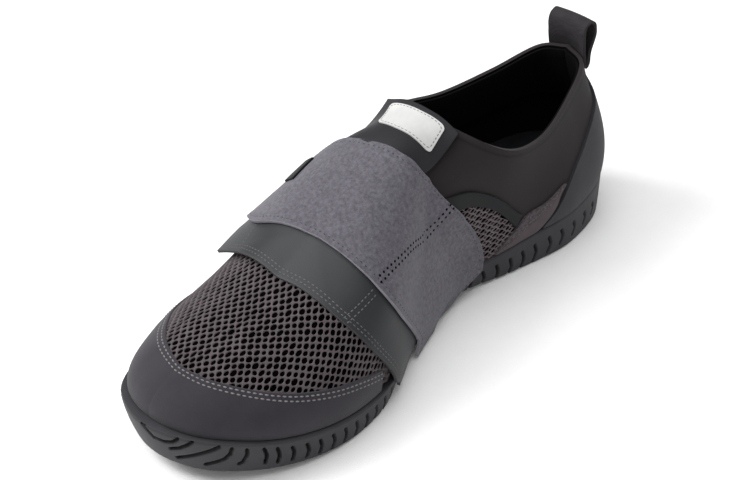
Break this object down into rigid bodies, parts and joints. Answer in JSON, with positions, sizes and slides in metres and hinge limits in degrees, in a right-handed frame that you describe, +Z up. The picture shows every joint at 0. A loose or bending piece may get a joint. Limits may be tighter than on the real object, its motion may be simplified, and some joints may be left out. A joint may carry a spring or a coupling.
{
  "type": "sneaker",
  "caption": "Low slip-on sneaker for the right foot with a mesh vamp, a wide suede and leather strap over the instep, a heel pull loop and a grooved rubber sole.",
  "frame": {"origin": "middle of the shoe's footprint, on the floor the sole stands on", "axes": "+X from the heel to the toe, +Y to the inner (medial) side of the right foot, +Z up"},
  "size_m": [0.294, 0.1036, 0.1033],
  "materials": {
    "sole_rubber": "matte moulded rubber",
    "insole_cloth": "matte cloth",
    "upper_cloth": "matte stretch cloth and open mesh",
    "nubuck": "matte brushed leather",
    "wedge_cloth": "matte woven cloth",
    "trim": "smooth satin band",
    "leather": "smooth satin leather",
    "suede": "napped suede",
    "label": "plain pale woven patch",
    "webbing": "matte folded webbing"
  },
  "bodies": {
    "root": {"sole": "sole_rubber", "insole": "insole_cloth", "upper": "upper_cloth", "toe_cap": "nubuck", "heel_counter": "nubuck", "side_wedge_medial": "wedge_cloth", "side_wedge_lateral": "wedge_cloth", "arch_trim_medial": "trim", "arch_trim_lateral": "trim", "strap_leather": "leather", "strap_suede": "suede", "strap_pull_tab": "trim", "throat_tab": "leather", "tab_label": "label", "pull_loop": "webbing"}
  },
  "joints": []
}
